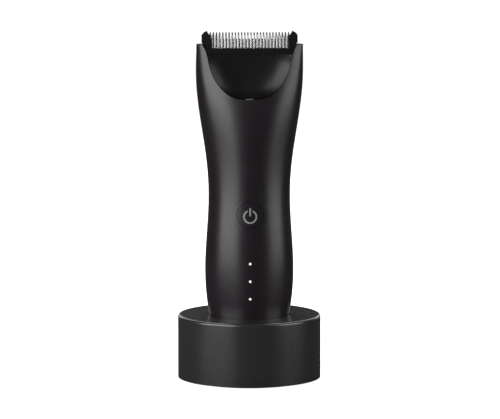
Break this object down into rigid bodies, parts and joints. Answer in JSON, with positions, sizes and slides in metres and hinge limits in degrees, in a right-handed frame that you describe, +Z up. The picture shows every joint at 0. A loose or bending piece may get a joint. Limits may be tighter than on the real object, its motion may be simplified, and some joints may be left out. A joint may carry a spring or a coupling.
{
  "type": "body groomer",
  "caption": "Slim cordless body groomer with a toothed blade head, power button and charge lamps, standing in a round charging dock.",
  "frame": {"origin": "middle of the dock's foot, on the table", "axes": "+X to the right of the front view, +Y to the back, -Y is the front with the power button, +Z up along the handle"},
  "size_m": [0.058, 0.058, 0.1422],
  "materials": {
    "handle_shell": "satin, very dark plum black",
    "module_plastic": "satin black",
    "dock_plastic": "satin dark grey",
    "inner_plastic": "moulded",
    "rubber": "matt",
    "blade_steel": "ground",
    "steel": "plated",
    "brass": "gilt",
    "ballast": "blackened",
    "board": "green solder mask",
    "cell_wrap": "shrink wrap",
    "clear_lens": "clear",
    "led": "lamp",
    "icon": "light grey",
    "magnet": "sintered"
  },
  "bodies": {
    "dock": {"dock_shell": "dock_plastic", "dock_base_plate": "dock_plastic", "foot_ring": "rubber", "dock_screws": "steel", "ballast_ring": "ballast", "dock_board": "board", "dock_board_screws": "steel", "inlet_shell": "steel", "inlet_tongue": "inner_plastic", "contact_barrels": "brass"},
    "contact_pin_left": {"contact_pin_left": "brass"},
    "contact_pin_right": {"contact_pin_right": "brass"},
    "handle": {"front_housing": "handle_shell", "rear_housing": "handle_shell", "housing_gasket": "rubber", "bottom_cap": "handle_shell", "cap_seal": "rubber", "charge_pads": "brass", "chassis": "inner_plastic", "battery_cell": "cell_wrap", "battery_tabs": "steel", "main_board": "board", "board_screws": "steel", "status_leds": "led", "light_pipes": "clear_lens", "switch_body": "inner_plastic", "motor_can": "steel", "motor_bush": "brass", "motor_end_cap": "inner_plastic", "motor_terminals": "brass", "motor_magnets": "magnet", "motor_mount": "steel", "motor_screws": "steel", "shaft_seal": "rubber", "spot_led": "led", "spot_lens": "clear_lens"},
    "button": {"power_button": "handle_shell", "power_icon": "icon", "switch_plunger": "inner_plastic"},
    "rotor": {"motor_shaft": "steel", "motor_armature": "magnet", "drive_eccentric": "inner_plastic"},
    "blade_module": {"module_frame": "module_plastic", "stationary_blade": "blade_steel", "blade_screws": "steel", "cutter_springs": "steel"},
    "cutter": {"cutter_blade": "blade_steel", "cutter_fork": "inner_plastic"}
  },
  "joints": [
    {"name": "groomer_lift", "type": "slide", "parent": "dock", "child": "handle", "axis": [0, 0, 1], "range_m": [0, 0.06]},
    {"name": "contact_pin_left_press", "type": "slide", "parent": "dock", "child": "contact_pin_left", "axis": [0, 0, 1], "range_m": [-0.0008, 0], "stiffness_N_per_m": 300},
    {"name": "contact_pin_right_press", "type": "slide", "parent": "dock", "child": "contact_pin_right", "axis": [0, 0, 1], "range_m": [-0.0008, 0], "stiffness_N_per_m": 300},
    {"name": "button_press", "type": "slide", "parent": "handle", "child": "button", "axis": [0, 1, 0], "range_m": [0, 0.0006], "stiffness_N_per_m": 500},
    {"name": "rotor_spin", "type": "hinge", "parent": "handle", "child": "rotor", "pos_m": [0, -0.0015, 0.1], "axis": [0, 0, 1], "continuous": true},
    {"name": "module_lift", "type": "slide", "parent": "handle", "child": "blade_module", "axis": [0, 0, 1], "range_m": [0, 0.028]},
    {"name": "cutter_stroke", "type": "slide", "parent": "blade_module", "child": "cutter", "axis": [1, 0, 0], "range_m": [-0.0008, 0.0008]}
  ]
}
